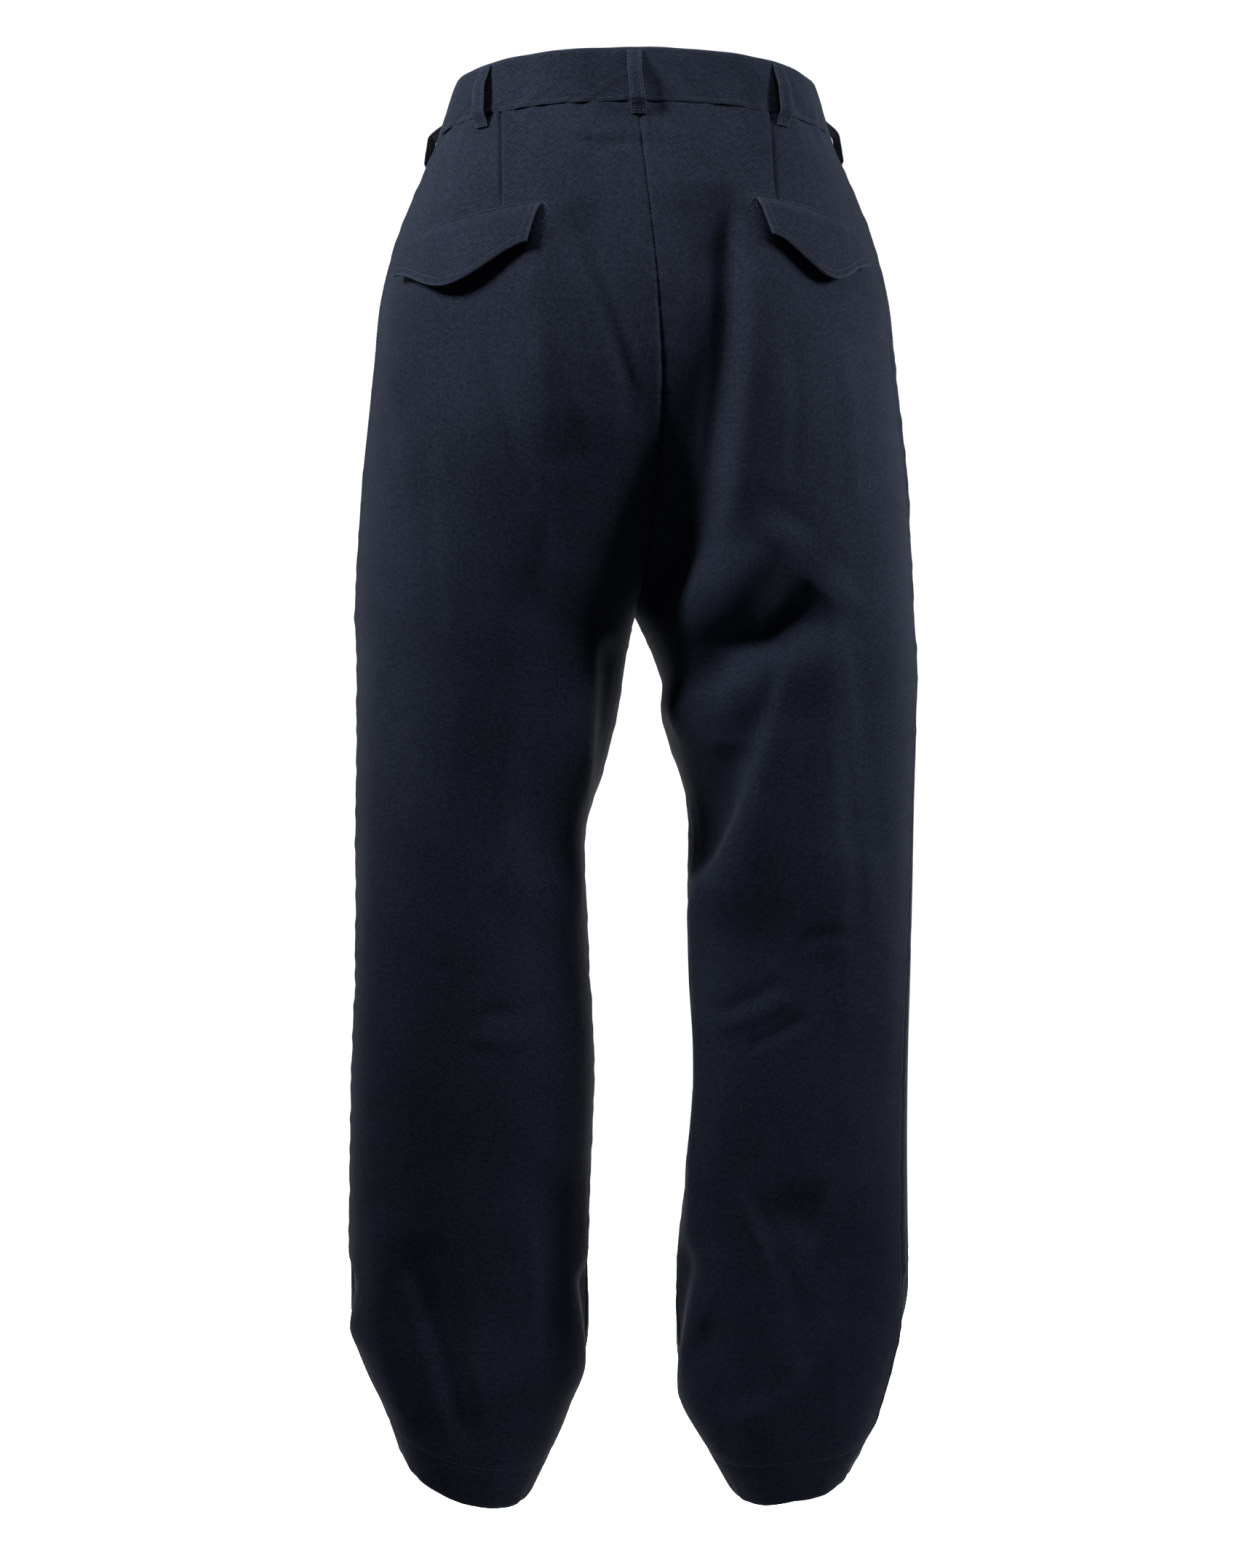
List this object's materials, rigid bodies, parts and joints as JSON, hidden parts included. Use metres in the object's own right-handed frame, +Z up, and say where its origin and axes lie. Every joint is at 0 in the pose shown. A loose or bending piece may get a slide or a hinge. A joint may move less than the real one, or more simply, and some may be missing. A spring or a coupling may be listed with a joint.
{
  "type": "officer trousers",
  "caption": "Wide straight officer trousers in navy cotton twill, in hollow worn form, with belt loops, darts and flapped back pockets.",
  "frame": {"origin": "middle of the waist, level with the waistband's top edge at the sides, where a wearer's waist holds the trousers up", "axes": "+Z up out of the waist, +Y towards the front, +X towards the wearer's right; the back faces -Y"},
  "size_m": [0.4304, 0.2866, 1.0723],
  "materials": {
    "twill": "matt navy cotton twill, fine steep diagonal, faint sheen on raised folds",
    "button": "dark four-hole button, satin"
  },
  "bodies": {
    "root": {"back_left": "twill", "back_right": "twill", "front_left": "twill", "front_right": "twill", "waistband_left": "twill", "waistband_right": "twill", "pocket_flap_left": "twill", "pocket_flap_right": "twill", "pocket_welt_left": "twill", "pocket_welt_right": "twill", "fly_lap": "twill", "belt_loop_centre_back": "twill", "belt_loop_back_left": "twill", "belt_loop_back_right": "twill", "belt_loop_side_left": "twill", "belt_loop_side_right": "twill", "belt_loop_front_left": "twill", "belt_loop_front_right": "twill", "waist_button": "button"}
  },
  "joints": []
}
